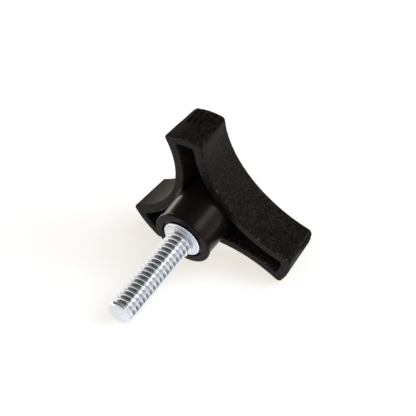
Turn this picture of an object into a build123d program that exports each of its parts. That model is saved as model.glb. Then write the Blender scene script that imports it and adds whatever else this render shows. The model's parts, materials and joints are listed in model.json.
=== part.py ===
from build123d import *
from math import atan2, cos, hypot, radians, sin
import os

# A three-armed wing knob: a hollow moulded head with a steel stud moulded into its boss.
# It is drawn with the stud along +Z and the end of the boss at z = 0, then laid down.

# head, outside, at the open rim and at the closed top
rimReach = 23.0        # axis to the crown of an arm's end
rimHalfWidth = 5.25    # half the arm's width at its end
rimWaist = 8.9         # axis to the wall between two arms
topReach = 22.4
topHalfWidth = 4.25
topWaist = 8.3
endCrown = 0.75        # how far the crown stands out from the end's corners
headHeight = 10.5
rimSetback = 8.6       # the rim sits this far behind the end of the boss
cornerRadius = 1.1
topEdgeRadius = 0.7
rimEdgeRadius = 0.3

# head, inside
sideWall = 2.4
endWall = 2.2
coreDraft = 0.25       # how much thicker the walls are at the floor
floorThickness = 2.4
pocketCorner = 0.8

# grip ribs at the end of each arm, level with the plain band next to the rim
plainBand = 5.2
ribCount = 5
ribPitch = 1.5
ribWidth = 0.5
ribHeight = 0.4

# boss
bossEndRadius = 6.6
bossRootRadius = 7.2   # at the floor
lipRadius = 7.0        # low lip round the end
lipHeight = 0.9
lipEdgeRadius = 0.25
recessClearance = 0.65  # round the collar
recessDepth = 0.55

# stud
studRadius = 3.175
studLength = 24.1      # beyond the end of the boss
tipChamfer = 0.5
collarRadius = 4.65
collarHeight = 0.3     # above the end of the boss
collarEdge = 0.25
ringRadius = 3.9       # raised ring on the collar, next to the shank
ringHeight = 0.35
anchorDepth = 11.0     # hidden end of the stud behind the end of the boss
anchorHeadHeight = 3.0
anchorAcrossFlats = 8.0
anchorShankRadius = 2.85

rimZ = -rimSetback
topZ = rimZ - headHeight
floorZ = topZ + floorThickness
armAngles = (90, -30, 210)


def turned(x, y, angle):
    """Puts a point of the arm that lies along +Y onto the arm at this angle."""
    a = radians(angle - 90)
    return x * cos(a) - y * sin(a), x * sin(a) + y * cos(a)


def sideCircle(corner, waist):
    """Centre and radius of the hollow side between two arms, on the bisector at 30 degrees."""
    dx, dy = cos(radians(30)), sin(radians(30))
    along = corner[0] * dx + corner[1] * dy
    s = (corner[0] ** 2 + corner[1] ** 2 - waist ** 2) / (2 * (along - waist))
    return (s * dx, s * dy), s - waist


def endCircle(corner, reach):
    s = (corner[0] ** 2 + corner[1] ** 2 - reach ** 2) / (2 * (corner[1] - reach))
    return (0.0, s), reach - s


def crossing(c1, r1, c2, r2):
    """The crossing of two circles that lies farthest along +Y."""
    dx, dy = c2[0] - c1[0], c2[1] - c1[1]
    d = hypot(dx, dy)
    a = (r1 ** 2 - r2 ** 2 + d ** 2) / (2 * d)
    h = (r1 ** 2 - a ** 2) ** 0.5
    mx, my = c1[0] + a * dx / d, c1[1] + a * dy / d
    return max(((mx - h * dy / d, my + h * dx / d), (mx + h * dy / d, my - h * dx / d)),
               key=lambda p: p[1])


def insetCorner(reach, halfWidth, waist, sideInset, endInset):
    """Where an arm's side meets its end, once both are moved in by the wall."""
    corner = (halfWidth, reach - endCrown)
    sideCentre, sideR = sideCircle(corner, waist)
    endCentre, endR = endCircle(corner, reach)
    return crossing(sideCentre, sideR + sideInset, endCentre, endR - endInset)


def lobes(reach, halfWidth, waist, z, sideInset=0.0, endInset=0.0):
    """The three-armed outline: convex ends and hollow sides, inset by the wall if one is given."""
    corner = insetCorner(reach, halfWidth, waist, sideInset, endInset)
    crown = (0.0, reach - endInset)
    throat = waist - sideInset
    edges = []
    for angle in armAngles:
        left, top, right = (turned(*p, angle) for p in ((-corner[0], corner[1]), crown, corner))
        waistPoint = turned(throat * cos(radians(30)), throat * sin(radians(30)), angle)
        following = turned(-corner[0], corner[1], angle - 120)
        edges.append(ThreePointArc((*left, z), (*top, z), (*right, z)))
        edges.append(ThreePointArc((*right, z), (*waistPoint, z), (*following, z)))
    return make_face(Wire(edges))


def uprightEdges(form, zHigh, zLow):
    return [e for e in form.edges()
            if abs(e.bounding_box().max.Z - zHigh) < 1e-3 and abs(e.bounding_box().min.Z - zLow) < 1e-3]


def edgesAt(form, z):
    """Edges that lie flat at this height."""
    return [e for e in form.edges()
            if abs(e.bounding_box().max.Z - z) < 1e-3 and abs(e.bounding_box().min.Z - z) < 1e-3]


def outerForm():
    """The head's outside, with its upright corners and its top and rim edges rounded."""
    form = loft([lobes(rimReach, rimHalfWidth, rimWaist, rimZ),
                 lobes(topReach, topHalfWidth, topWaist, topZ)], ruled=True)
    form = fillet(uprightEdges(form, rimZ, topZ), cornerRadius)
    form = fillet(edgesAt(form, topZ), topEdgeRadius)
    return fillet(edgesAt(form, rimZ), rimEdgeRadius)


def hollow():
    """What the core leaves open inside the walls, before the boss is put back."""
    atRim = (rimReach, rimHalfWidth, rimWaist)
    atFloor = (topReach, topHalfWidth, topWaist)
    sides, ends = sideWall + coreDraft, endWall + coreDraft
    form = loft([lobes(*atRim, rimZ, sideWall, endWall), lobes(*atFloor, floorZ, sides, ends)],
                ruled=True)
    narrowest = insetCorner(*atFloor, sides, ends)[0]
    return fillet(uprightEdges(form, rimZ, floorZ), min(pocketCorner, 0.6 * narrowest))


def gripValleys():
    """What is cut from each arm's end, from the plain band to the top, to leave the ribs standing."""
    core = loft([lobes(rimReach, rimHalfWidth, rimWaist, rimZ, -0.5, ribHeight),
                 lobes(topReach, topHalfWidth, topWaist, topZ, -0.5, ribHeight)], ruled=True)
    hung = (Align.CENTER, Align.MAX, Align.MAX)
    length = headHeight - plainBand + 1
    depth = rimReach - topReach + endCrown + 2 * ribHeight + 1
    place = Pos(0, rimReach + 0.5, rimZ - plainBand)
    valley = place * Box(2 * rimHalfWidth + 1, depth, length, align=hung)
    for i in range(ribCount):
        across = (i - (ribCount - 1) / 2) * ribPitch
        valley -= Pos(across, 0, 0) * place * Box(ribWidth, depth, length, align=hung)
    return Part() + [Rot(0, 0, angle - 90) * valley for angle in armAngles] - core


def boss():
    """The round boss, drafted, from the head's floor to the lip round its end."""
    down = (Align.CENTER, Align.CENTER, Align.MAX)
    form = Pos(0, 0, floorZ / 2) * Cone(bossRootRadius, bossEndRadius, -floorZ)
    base = Pos(0, 0, floorZ) * Cylinder(bossRootRadius, floorThickness / 2, align=down)
    lip = Cylinder(lipRadius, lipHeight, align=down)
    lip = fillet(edgesAt(lip, 0.0) + edgesAt(lip, -lipHeight), lipEdgeRadius)
    recess = Cylinder(collarRadius + recessClearance, recessDepth, align=down)
    return form + base + lip - recess


def threadedStud():
    """The steel stud: chamfered shank, collar with its raised ring, and the hidden anchor."""
    seatZ = -recessDepth
    up = (Align.CENTER, Align.CENTER, Align.MIN)
    shank = Pos(0, 0, seatZ) * Cylinder(studRadius, studLength - seatZ, align=up)
    shank = chamfer(edgesAt(shank, studLength), tipChamfer)
    collar = Pos(0, 0, seatZ) * Cylinder(collarRadius, collarHeight - seatZ, align=up)
    collar = fillet(edgesAt(collar, collarHeight), collarEdge)
    ring = Pos(0, 0, seatZ) * Cylinder(ringRadius, collarHeight + ringHeight - seatZ, align=up)
    ring = fillet(edgesAt(ring, collarHeight + ringHeight), ringHeight / 2)
    anchor = Pos(0, 0, -anchorDepth) * Cylinder(anchorShankRadius, anchorDepth + seatZ, align=up)
    hexagon = RegularPolygon(anchorAcrossFlats / 2, 6, major_radius=False)
    head = Pos(0, 0, -anchorDepth) * extrude(hexagon, anchorHeadHeight)
    return shank + collar + ring + anchor + head


def knobBody(stud):
    head = outerForm() - hollow()
    head = fillet(edgesAt(head, rimZ), rimEdgeRadius)
    return head - gripValleys() + boss() - stud


def lean(head, stud):
    """How far below the level the stud points once the knob lies on two arms and the stud's tip."""
    def gap(angle):
        turn = Rot(90 + angle, 0, 0)
        return (turn * stud).bounding_box().min.Z - (turn * head).bounding_box().min.Z

    before, now = 15.0, 25.0
    gapBefore, gapNow = gap(before), gap(now)
    while abs(gapNow) > 1e-5:
        step = gapNow * (now - before) / (gapNow - gapBefore)
        before, gapBefore, now = now, gapNow, now - step
        gapNow = gap(now)
    return now


def laidDown(head, stud):
    """One arm up, the stud pointing to the front and down, the middle of the box over the origin."""
    turn = Rot(90 + lean(head, stud), 0, 0)
    head, stud = turn * head, turn * stud
    box = head.bounding_box().add(stud.bounding_box())
    move = Pos(-box.center().X, -box.center().Y, -box.min.Z)
    return move * head, move * stud


def main():
    stud = threadedStud()
    body, stud = laidDown(knobBody(stud), stud)
    os.makedirs("parts", exist_ok=True)
    export_step(body, "parts/knob_body.step")
    export_step(stud, "parts/threaded_stud.step")


main()
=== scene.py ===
import json
import math

import bmesh
import bpy
import numpy as np
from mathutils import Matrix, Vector


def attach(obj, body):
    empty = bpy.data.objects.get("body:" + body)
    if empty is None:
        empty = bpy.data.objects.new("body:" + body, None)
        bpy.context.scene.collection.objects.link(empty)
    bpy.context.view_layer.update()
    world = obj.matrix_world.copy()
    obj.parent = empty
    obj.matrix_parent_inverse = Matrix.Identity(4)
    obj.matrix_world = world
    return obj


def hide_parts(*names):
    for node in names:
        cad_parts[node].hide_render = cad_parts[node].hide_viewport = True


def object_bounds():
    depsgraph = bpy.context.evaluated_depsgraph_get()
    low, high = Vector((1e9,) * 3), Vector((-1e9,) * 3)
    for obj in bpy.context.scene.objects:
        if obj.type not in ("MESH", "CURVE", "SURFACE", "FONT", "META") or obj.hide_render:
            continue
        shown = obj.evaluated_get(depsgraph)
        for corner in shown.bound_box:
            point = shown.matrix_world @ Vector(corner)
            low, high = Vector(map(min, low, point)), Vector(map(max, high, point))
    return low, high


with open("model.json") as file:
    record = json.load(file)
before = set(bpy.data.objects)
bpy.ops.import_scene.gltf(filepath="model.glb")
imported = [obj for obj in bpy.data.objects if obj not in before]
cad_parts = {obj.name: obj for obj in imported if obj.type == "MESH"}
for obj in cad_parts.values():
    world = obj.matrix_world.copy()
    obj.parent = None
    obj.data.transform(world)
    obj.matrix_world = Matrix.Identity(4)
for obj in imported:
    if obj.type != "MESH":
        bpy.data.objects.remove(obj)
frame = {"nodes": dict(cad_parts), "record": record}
cadLow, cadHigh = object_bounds()
mm = 0.001

# the end of the boss and the stud's direction, from where the record puts its pin mount
pin = next(m for m in frame["record"]["mounts"] if m["name"] == "stud")
studAxis = np.array(pin["axis"]) / np.linalg.norm(pin["axis"])

# millimetres along the stud from the end of the boss, and across it
stud = {
    "shankRadius": 3.175, "length": 24.1, "chamfer": 0.5,
    "pitch": 1.27, "threadDepth": 0.74, "crest": 0.0625, "root": 0.07, "flankRound": 0.2,
    "lead": 0.9, "leadLess": 0.12,
    "collarRadius": 4.65, "collarTop": 0.30, "collarEdge": 0.22, "seat": -0.55,
    "grooveRadius": 4.1, "grooveDepth": 0.08, "grooveSlope": 0.09,
    "ringRadius": 3.9, "ringTop": 0.65, "ringEdge": 0.09,
    "anchorRadius": 2.85, "anchorEnd": -11.0, "anchorHead": 3.0, "anchorFlats": 8.0,
    "around": 144, "perPitch": 20, "edgeSteps": 6, "weld": 2e-7, "sharpAngle": 38,
}
bossEnd = np.array(pin["pos_m"]) - studAxis * (stud["ringTop"] + pin["dims"]["length_mm"] / 2) * mm
print("frame read, boss ends at", bossEnd.round(5))


def threadRadius(along, turn):
    # crest radius less the thread's depth times a ramp: the ramp is 0 within the crest's half width
    # of the helix along = pitch * turn, 1 within the root's half width of the middle, partly eased
    # between, and it fades to 0 over the lead at the tip, where the crest comes down by leadLess
    fromCrest = np.abs((along / stud["pitch"] - turn + 0.5) % 1.0 - 0.5)
    ramp = np.clip((fromCrest - stud["crest"]) / (0.5 - stud["crest"] - stud["root"]), 0, 1)
    eased = (1 - stud["flankRound"]) * ramp + stud["flankRound"] * ramp * ramp * (3 - 2 * ramp)
    fade = np.clip((stud["length"] - stud["chamfer"] - along) / stud["lead"], 0, 1)
    return stud["shankRadius"] - stud["leadLess"] * (1 - fade) - stud["threadDepth"] * eased * fade


def anchorRadius(turn):
    # a hexagon: half the flats over the cosine of the angle from the nearest flat's middle
    fromFlat = (turn * 6 + 0.5) % 1.0 - 0.5
    return stud["anchorFlats"] / 2 / np.cos(fromFlat * math.pi / 3)


def studSurface():
    # one grid, round by row: a point is bossEnd + along * axis + radius * (cos turn, sin turn);
    # the anchor and collar rows are a turned profile, the thread rows climb one pitch a turn
    turn = np.arange(stud["around"]) / stud["around"]
    flat = np.ones_like(turn)
    hexed = anchorRadius(turn)
    top, edge, ringEdge = stud["collarTop"], stud["collarEdge"], stud["ringEdge"]
    bend = np.linspace(0, math.pi / 2, stud["edgeSteps"])
    rows = [(0 * flat, stud["anchorEnd"]), (hexed, stud["anchorEnd"]),
            (hexed, stud["anchorEnd"] + stud["anchorHead"]),
            (stud["anchorRadius"] * flat, stud["anchorEnd"] + stud["anchorHead"]),
            (stud["anchorRadius"] * flat, stud["seat"]), (stud["collarRadius"] * flat, stud["seat"])]
    rows += [((stud["collarRadius"] - edge + edge * math.cos(b)) * flat,
              top - edge + edge * math.sin(b)) for b in bend]
    rows += [((stud["grooveRadius"] + stud["grooveSlope"]) * flat, top),
             (stud["grooveRadius"] * flat, top - stud["grooveDepth"]),
             (stud["ringRadius"] * flat, top - stud["grooveDepth"])]
    rows += [(stud["ringRadius"] * flat, stud["ringTop"] - ringEdge)]
    rows += [((stud["ringRadius"] - ringEdge + ringEdge * math.cos(b)) * flat,
              stud["ringTop"] - ringEdge + ringEdge * math.sin(b)) for b in bend[1:]]
    radius = np.array([r for r, _ in rows])
    along = np.array([z * flat for _, z in rows])

    steps = int((stud["length"] - stud["ringTop"]) / stud["pitch"] + 2) * stud["perPitch"]
    climb = (np.arange(steps)[:, None] / stud["perPitch"] + turn[None] - 1) * stud["pitch"]
    threadAlong = np.clip(stud["ringTop"] + climb, stud["ringTop"], stud["length"])
    cone = stud["shankRadius"] - stud["chamfer"] + (stud["length"] - threadAlong)
    threadR = np.minimum(threadRadius(threadAlong, turn[None] + 0 * threadAlong), cone)
    radius = np.vstack([radius, threadR, 0 * flat[None]])
    along = np.vstack([along, threadAlong, stud["length"] * flat[None]])
    return turn, radius, along


def closedMesh(name, turn, radius, along):
    # quads join each row to the next and the last column to the first; equal points are then merged
    across = np.array([1.0, 0.0, 0.0])
    up = np.cross(studAxis, across)
    angle = turn * 2 * math.pi
    ring = np.cos(angle)[:, None] * across + np.sin(angle)[:, None] * up
    points = bossEnd + mm * (radius[..., None] * ring[None] + along[..., None] * studAxis)
    count, width = radius.shape
    index = np.arange(count * width).reshape(count, width)
    nextRound = np.roll(index, -1, axis=1)
    quads = np.stack([index[:-1], nextRound[:-1], nextRound[1:], index[1:]], -1).reshape(-1, 4)
    mesh = bpy.data.meshes.new(name)
    mesh.from_pydata(points.reshape(-1, 3).tolist(), [], quads.tolist())
    work = bmesh.new()
    work.from_mesh(mesh)
    bmesh.ops.remove_doubles(work, verts=work.verts, dist=stud["weld"])
    bmesh.ops.dissolve_degenerate(work, edges=work.edges, dist=stud["weld"])
    work.to_mesh(mesh)
    work.free()
    mesh.shade_smooth()
    mesh.set_sharp_from_angle(angle=math.radians(stud["sharpAngle"]))
    piece = bpy.data.objects.new(name, mesh)
    bpy.context.scene.collection.objects.link(piece)
    return piece


threadedStud = closedMesh("zinc_threaded_stud", *studSurface())
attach(threadedStud, "root")
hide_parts("threaded_stud")
print("stud made,", len(threadedStud.data.polygons), "faces")


def newGroup(name, inputs, outputs):
    group = bpy.data.node_groups.new(name, "ShaderNodeTree")
    for label, kind, value in inputs:
        socket = group.interface.new_socket(label, in_out="INPUT", socket_type=kind)
        if value is not None:
            socket.default_value = value
    for label, kind in outputs:
        group.interface.new_socket(label, in_out="OUTPUT", socket_type=kind)
    return group, group.nodes.new("NodeGroupInput"), group.nodes.new("NodeGroupOutput")


def mathNode(tree, operation, first, second=None, third=None):
    node = tree.nodes.new("ShaderNodeMath")
    node.operation = operation
    for i, value in enumerate((first, second, third)):
        if value is None:
            continue
        if isinstance(value, (int, float)):
            node.inputs[i].default_value = value
        else:
            tree.links.new(value, node.inputs[i])
    return node.outputs[0]


def vectorNode(tree, operation, first, second=None):
    node = tree.nodes.new("ShaderNodeVectorMath")
    node.operation = operation
    tree.links.new(first, node.inputs[0])
    if isinstance(second, (tuple, list)):
        node.inputs[1].default_value = second
    elif second is not None:
        tree.links.new(second, node.inputs[1])
    return node.outputs["Value" if operation in ("DOT_PRODUCT", "LENGTH") else "Vector"]


def ramp(tree, value, low, high, start=0.0, end=1.0):
    node = tree.nodes.new("ShaderNodeMapRange")
    node.interpolation_type = "SMOOTHSTEP"
    tree.links.new(value, node.inputs["Value"])
    for label, number in (("From Min", low), ("From Max", high), ("To Min", start), ("To Max", end)):
        node.inputs[label].default_value = number
    return node.outputs["Result"]


def noise(tree, vector, scale, detail=2.0, roughness=0.5):
    node = tree.nodes.new("ShaderNodeTexNoise")
    tree.links.new(vector, node.inputs["Vector"])
    if isinstance(scale, (int, float)):
        node.inputs["Scale"].default_value = scale
    else:
        tree.links.new(scale, node.inputs["Scale"])
    node.inputs["Detail"].default_value = detail
    node.inputs["Roughness"].default_value = roughness
    return node.outputs["Fac"]


def mixColour(tree, factor, first, second):
    node = tree.nodes.new("ShaderNodeMix")
    node.data_type = "RGBA"
    tree.links.new(factor, node.inputs[0])
    for i, value in ((6, first), (7, second)):
        if isinstance(value, tuple):
            node.inputs[i].default_value = (*value, 1.0)
        else:
            tree.links.new(value, node.inputs[i])
    return node.outputs[2]


def makeStudPlace():
    # Along is the point's distance past the boss's end on the stud's axis, Radial its distance from it
    group, into, out = newGroup("StudPlace", [("Vector", "NodeSocketVector", None)],
                                [("Along", "NodeSocketFloat"), ("Radial", "NodeSocketFloat")])
    local = vectorNode(group, "SUBTRACT", into.outputs["Vector"], tuple(bossEnd))
    along = vectorNode(group, "DOT_PRODUCT", local, tuple(studAxis))
    axisPart = group.nodes.new("ShaderNodeVectorMath")
    axisPart.operation = "SCALE"
    axisPart.inputs[0].default_value = tuple(studAxis)
    group.links.new(along, axisPart.inputs["Scale"])
    radial = vectorNode(group, "LENGTH", vectorNode(group, "SUBTRACT", local, axisPart.outputs[0]))
    group.links.new(mathNode(group, "MULTIPLY", along, 1000.0), out.inputs["Along"])
    group.links.new(mathNode(group, "MULTIPLY", radial, 1000.0), out.inputs["Radial"])
    return group


def makeFineGrain():
    # a fine noise and one a quarter as fine: their sum is the height, and its higher parts the mottle
    group, into, out = newGroup("FineGrain", [("Vector", "NodeSocketVector", None),
                                              ("Scale", "NodeSocketFloat", 2500.0)],
                                [("Height", "NodeSocketFloat"), ("Mottle", "NodeSocketFloat")])
    fineShare, coarseScale = 0.75, 0.25
    fine = noise(group, into.outputs["Vector"], into.outputs["Scale"], 3.0, 0.6)
    coarse = noise(group, into.outputs["Vector"],
                   mathNode(group, "MULTIPLY", into.outputs["Scale"], coarseScale), 2.0, 0.5)
    height = mathNode(group, "ADD", mathNode(group, "MULTIPLY", fine, fineShare),
                      mathNode(group, "MULTIPLY", coarse, 1 - fineShare))
    group.links.new(height, out.inputs["Height"])
    group.links.new(ramp(group, height, 0.44, 0.62), out.inputs["Mottle"])
    return group


def makeHighlightSpecks():
    # few small spots of painted highlight: the higher patches of a noise, cut again by a coarser noise
    group, into, out = newGroup("PaintedHighlightSpecks", [("Vector", "NodeSocketVector", None),
                                               ("Scale", "NodeSocketFloat", 900.0)],
                                [("Mask", "NodeSocketFloat")])
    coarseScale = 0.17
    fine = noise(group, into.outputs["Vector"], into.outputs["Scale"], 2.0, 0.6)
    coarse = noise(group, into.outputs["Vector"],
                   mathNode(group, "MULTIPLY", into.outputs["Scale"], coarseScale), 1.0)
    spots, places = ramp(group, fine, 0.57, 0.66), ramp(group, coarse, 0.53, 0.61)
    group.links.new(mathNode(group, "MULTIPLY", spots, places), out.inputs["Mask"])
    return group


studPlace, fineGrain, highlightSpecks = makeStudPlace(), makeFineGrain(), makeHighlightSpecks()


def place(tree, group, vector, **values):
    node = tree.nodes.new("ShaderNodeGroup")
    node.node_tree = group
    tree.links.new(vector, node.inputs["Vector"])
    for label, value in values.items():
        node.inputs[label].default_value = value
    return node


def newMaterial(name):
    material = bpy.data.materials.new(name)
    material.use_nodes = True
    tree = material.node_tree
    coords = tree.nodes.new("ShaderNodeTexCoord").outputs["Object"]
    return material, tree, tree.nodes["Principled BSDF"], coords


def bump(tree, height, distance, strength, normal=None):
    node = tree.nodes.new("ShaderNodeBump")
    node.inputs["Distance"].default_value = distance
    node.inputs["Strength"].default_value = strength
    tree.links.new(height, node.inputs["Height"])
    if normal is not None:
        tree.links.new(normal, node.inputs["Normal"])
    return node.outputs["Normal"]


# lengths in millimetres along the stud from the end of the boss, or across it
plastic = {
    "colour": (0.0020, 0.0012, 0.0012), "mottled": (0.0300, 0.0238, 0.0202),
    "tint": (1.0, 0.84, 0.76), "specular": 0.09, "bossSpecular": 0.22,
    "wallRoughness": 0.56, "rimRoughness": 0.46, "bossRoughness": 0.24,
    "grainScale": 4200.0, "grainHeight": 0.00012, "grainStrength": 0.9,
    "rimAlong": -8.6, "rimBand": (0.25, 0.50), "bossRadius": 7.6, "bossRadiusBlend": 0.1,
    "bossFloor": -17.0, "bossFloorBlend": 0.2, "bossFaceBand": (-0.35, -0.10),
    "bossFleck": 0.17, "bossMottleLess": 0.95, "fleckRoughness": 0.05, "smoothGrainLess": 0.95,
    # the lighter colour in specks along the rim band's edges is a painted highlight
    "paintedEdgeHighlight": (0.13, 0.12, 0.11), "highlightScale": 1500.0,
    "highlightFromRim": (0.03, 0.10), "highlightToEdge": (0.32, 0.48),
}


def blackPlastic():
    material, tree, shader, coords = newMaterial("black_moulded_plastic")
    where = place(tree, studPlace, coords)
    along, radial = where.outputs["Along"], where.outputs["Radial"]
    grain = place(tree, fineGrain, coords, Scale=plastic["grainScale"])
    highlightSpots = place(tree, highlightSpecks, coords, Scale=plastic["highlightScale"])

    fromRim = mathNode(tree, "ABSOLUTE", mathNode(tree, "SUBTRACT", along, plastic["rimAlong"]))
    rim = ramp(tree, fromRim, *plastic["rimBand"], 1.0, 0.0)
    radius, blend = plastic["bossRadius"], plastic["bossRadiusBlend"]
    nearAxis = ramp(tree, radial, radius - blend, radius + blend, 1.0, 0.0)
    aboveFloor = ramp(tree, along, plastic["bossFloor"] - plastic["bossFloorBlend"],
                      plastic["bossFloor"])
    inBoss = mathNode(tree, "MULTIPLY", nearAxis, aboveFloor)
    offFace = ramp(tree, along, *plastic["bossFaceBand"], 1.0, 0.0)
    smooth = mathNode(tree, "MAXIMUM", rim, inBoss)

    flecked = mathNode(tree, "MULTIPLY_ADD", grain.outputs["Mottle"],
                       mathNode(tree, "MULTIPLY_ADD", inBoss, -plastic["bossMottleLess"], 1.0),
                       mathNode(tree, "MULTIPLY", inBoss, plastic["bossFleck"]))
    base = mixColour(tree, flecked, plastic["colour"], plastic["mottled"])
    # a painted highlight in lighter specks along the rim band's edges, kept off the boss
    rimEdges = mathNode(tree, "MULTIPLY", ramp(tree, fromRim, *plastic["highlightFromRim"]),
                        ramp(tree, fromRim, *plastic["highlightToEdge"], 1.0, 0.0))
    paintedEdgeHighlight = mathNode(tree, "MULTIPLY", mathNode(tree, "MULTIPLY", highlightSpots.outputs["Mask"], rimEdges),
                      mathNode(tree, "SUBTRACT", 1.0, inBoss))
    tree.links.new(mixColour(tree, paintedEdgeHighlight, base, plastic["paintedEdgeHighlight"]), shader.inputs["Base Color"])

    offBoss = mathNode(tree, "MULTIPLY_ADD", rim,
                       plastic["rimRoughness"] - plastic["wallRoughness"], plastic["wallRoughness"])
    bossLess = mathNode(tree, "MULTIPLY", inBoss,
                        mathNode(tree, "SUBTRACT", offBoss, plastic["bossRoughness"]))
    rough = mathNode(tree, "SUBTRACT", offBoss, bossLess)
    rough = mathNode(tree, "MULTIPLY_ADD", flecked, plastic["fleckRoughness"], rough)
    tree.links.new(rough, shader.inputs["Roughness"])

    height = mathNode(tree, "MULTIPLY", grain.outputs["Height"],
                      mathNode(tree, "MULTIPLY_ADD", smooth, -plastic["smoothGrainLess"], 1.0))
    tree.links.new(bump(tree, height, plastic["grainHeight"], plastic["grainStrength"]),
                   shader.inputs["Normal"])
    # the boss is glossier than the rest, except on its end face
    tree.links.new(mathNode(tree, "MULTIPLY_ADD", mathNode(tree, "MULTIPLY", inBoss, offFace),
                            plastic["bossSpecular"] - plastic["specular"], plastic["specular"]),
                   shader.inputs["Specular IOR Level"])
    shader.inputs["Specular Tint"].default_value = (*plastic["tint"], 1.0)
    return material


# the root colour is painted shade for the thread's valleys
zinc = {
    "colour": (0.80, 0.83, 0.87), "bloom": (0.74, 0.78, 0.82), "root": (0.55, 0.58, 0.60),
    "roughness": 0.14, "bloomScale": 420.0, "bloomBand": (0.40, 0.68), "bloomRoughness": 0.12,
    "scratchScale": 1800.0, "scratchHeight": 0.000012, "scratchStrength": 0.5,
    "rootShadeBand": (2.50, 2.85), "threadFrom": 0.65, "threadBlend": 0.1, "tipBand": (0.12, 0.05),
}


def zincPlate():
    material, tree, shader, coords = newMaterial("bright_zinc_plate")
    where = place(tree, studPlace, coords)
    grain = place(tree, fineGrain, coords, Scale=zinc["scratchScale"])
    bloom = ramp(tree, noise(tree, coords, zinc["bloomScale"], 3.0, 0.6), *zinc["bloomBand"])
    base = mixColour(tree, bloom, zinc["colour"], zinc["bloom"])
    pastRing = ramp(tree, where.outputs["Along"], zinc["threadFrom"],
                    zinc["threadFrom"] + zinc["threadBlend"])
    # the thread's valleys between the ring and the tip are painted darker in the root colour: painted
    # shade
    inShadedRoot = mathNode(tree, "MULTIPLY",
                      ramp(tree, where.outputs["Radial"], *zinc["rootShadeBand"], 1.0, 0.0), pastRing)
    beforeTip = ramp(tree, where.outputs["Along"], *(stud["length"] - d for d in zinc["tipBand"]),
                     1.0, 0.0)
    paintedRootShade = mathNode(tree, "MULTIPLY", inShadedRoot, beforeTip)
    tree.links.new(mixColour(tree, paintedRootShade, base, zinc["root"]), shader.inputs["Base Color"])
    shader.inputs["Metallic"].default_value = 1.0
    tree.links.new(mathNode(tree, "MULTIPLY_ADD", bloom, zinc["bloomRoughness"], zinc["roughness"]),
                   shader.inputs["Roughness"])
    tree.links.new(bump(tree, grain.outputs["Height"], zinc["scratchHeight"],
                        zinc["scratchStrength"]), shader.inputs["Normal"])
    return material


threadedStud.data.materials.append(zincPlate())
body = frame["nodes"]["knob_body"]
body.data.materials.clear()
body.data.materials.append(blackPlastic())
frame["nodes"]["threaded_stud"].data.materials.clear()
frame["nodes"]["threaded_stud"].data.materials.append(threadedStud.data.materials[0])
print("materials set")

studio = {
    "floorHalf": 3.0, "floor": (0.51, 0.56, 0.70), "floorLift": (0.70, 0.66, 0.574), "room": 0.10,
    "side": 0.72, "sweep": 3.6, "sweepAzimuth": -125, "sweepColour": (1.0, 0.87, 0.69),
    "farBand": (-0.10, 0.80), "sideBand": (0.45, 0.95), "sweepBand": (0.04, 0.34),
    "sideLight": {"azimuth": 103, "elevation": 40, "distance": 0.60, "size": 0.24, "watts": 0.36},
    "backLight": {"azimuth": -137, "elevation": 4, "distance": 0.60, "size": 0.06, "watts": 0.05,
                  "colour": (1.0, 0.92, 0.78)},
    "topLight": {"azimuth": 90, "elevation": 55, "distance": 1.20, "size": 1.00, "watts": 5.0},
}


def cameraOrGloss(tree):
    path = tree.nodes.new("ShaderNodeLightPath")
    either = mathNode(tree, "MAXIMUM", path.outputs["Is Camera Ray"], path.outputs["Is Glossy Ray"])
    return mathNode(tree, "MAXIMUM", either, path.outputs["Is Transmission Ray"])


def makeFloor():
    mesh = bpy.data.meshes.new("floor")
    half = studio["floorHalf"]
    mesh.from_pydata([(-half, -half, 0), (half, -half, 0), (half, half, 0), (-half, half, 0)], [],
                     [(0, 1, 2, 3)])
    floor = bpy.data.objects.new("floor", mesh)
    bpy.context.scene.collection.objects.link(floor)
    material = bpy.data.materials.new("pale_floor")
    material.use_nodes = True
    tree = material.node_tree
    tree.nodes.clear()
    paint = tree.nodes.new("ShaderNodeBsdfDiffuse")
    paint.inputs["Color"].default_value = (*studio["floor"], 1.0)
    lift = tree.nodes.new("ShaderNodeEmission")
    lift.inputs["Color"].default_value = (*studio["floorLift"], 1.0)
    tree.links.new(cameraOrGloss(tree), lift.inputs["Strength"])
    add = tree.nodes.new("ShaderNodeAddShader")
    out = tree.nodes.new("ShaderNodeOutputMaterial")
    tree.links.new(paint.outputs[0], add.inputs[0])
    tree.links.new(lift.outputs[0], add.inputs[1])
    tree.links.new(add.outputs[0], out.inputs["Surface"])
    mesh.materials.append(material)
    return floor


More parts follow.
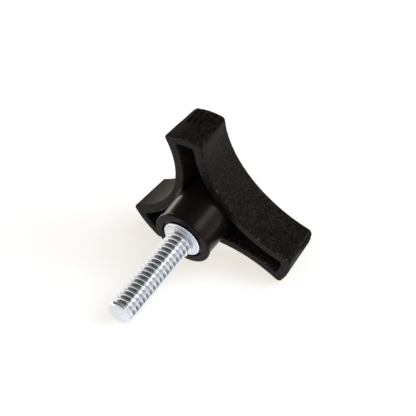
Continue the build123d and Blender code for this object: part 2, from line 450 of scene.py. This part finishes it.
def makeWorld(towards):
    # white to the camera; to the object a room dark overhead, bright at the sides, and a warm sweep
    # lower down at the back
    world = bpy.data.worlds.new("soft_studio")
    world.use_nodes = True
    tree = world.node_tree
    background = tree.nodes["Background"]
    direction = tree.nodes.new("ShaderNodeTexCoord").outputs["Generated"]
    far = ramp(tree, vectorNode(tree, "DOT_PRODUCT", direction, towards), *studio["farBand"])
    height = vectorNode(tree, "DOT_PRODUCT", direction, (0.0, 0.0, 1.0))
    sides = mathNode(tree, "MULTIPLY", ramp(tree, height, *studio["sideBand"], studio["side"], 0.0),
                     mathNode(tree, "SUBTRACT", 1.0, far))
    sweep = mathNode(tree, "MULTIPLY",
                     ramp(tree, height, *studio["sweepBand"], studio["sweep"], 0.0), far)
    glow = mathNode(tree, "ADD", mathNode(tree, "ADD", sides, sweep), studio["room"])
    isCamera = tree.nodes.new("ShaderNodeLightPath").outputs["Is Camera Ray"]
    strength = mathNode(tree, "MAXIMUM", mathNode(tree, "MULTIPLY", glow,
                                                  mathNode(tree, "SUBTRACT", 1.0, isCamera)), isCamera)
    tree.links.new(strength, background.inputs["Strength"])
    warm = mixColour(tree, far, (1.0, 1.0, 1.0), studio["sweepColour"])
    tree.links.new(mixColour(tree, isCamera, warm, (1.0, 1.0, 1.0)), background.inputs["Color"])
    bpy.context.scene.world = world


def outward(azimuth, elevation):
    a, e = math.radians(azimuth), math.radians(elevation)
    return Vector((math.sin(a) * math.cos(e), -math.cos(a) * math.cos(e), math.sin(e)))


def makeLight(name, middle, settings, glossy=True):
    light = bpy.data.lights.new(name, "AREA")
    light.shape, light.size, light.energy = "DISK", settings["size"], settings["watts"]
    light.color = settings.get("colour", (1.0, 1.0, 1.0))
    lamp = bpy.data.objects.new(name, light)
    bpy.context.scene.collection.objects.link(lamp)
    away = outward(settings["azimuth"], settings["elevation"])
    lamp.location = middle + away * settings["distance"]
    lamp.rotation_euler = away.to_track_quat("Z", "Y").to_euler()
    lamp.visible_glossy = glossy
    lamp.visible_camera = False
    return lamp


camera = {"azimuth": 36.46, "elevation": 28.8, "distance": 0.43566, "lens": 173.08,
          "aim": (0.004847, 0.003465, -0.00017)}


def makeCamera(middle):
    data = bpy.data.cameras.new("camera")
    data.lens, data.sensor_width = camera["lens"], 36.0
    data.clip_start, data.clip_end = 0.01, 20.0
    view = bpy.data.objects.new("camera", data)
    bpy.context.scene.collection.objects.link(view)
    away = outward(camera["azimuth"], camera["elevation"])
    view.location = middle + Vector(camera["aim"]) + away * camera["distance"]
    view.rotation_euler = away.to_track_quat("Z", "Y").to_euler()
    bpy.context.scene.camera = view


middle = (cadLow + cadHigh) / 2
makeFloor()
makeCamera(middle)
makeWorld(tuple(outward(studio["sweepAzimuth"], 0.0)))
makeLight("side_softbox", middle, studio["sideLight"])
makeLight("back_strip", middle, studio["backLight"])
makeLight("top_softbox", middle, studio["topLight"], glossy=False)
bpy.context.scene.view_settings.view_transform = "Standard"
print("floor, lights and camera set")
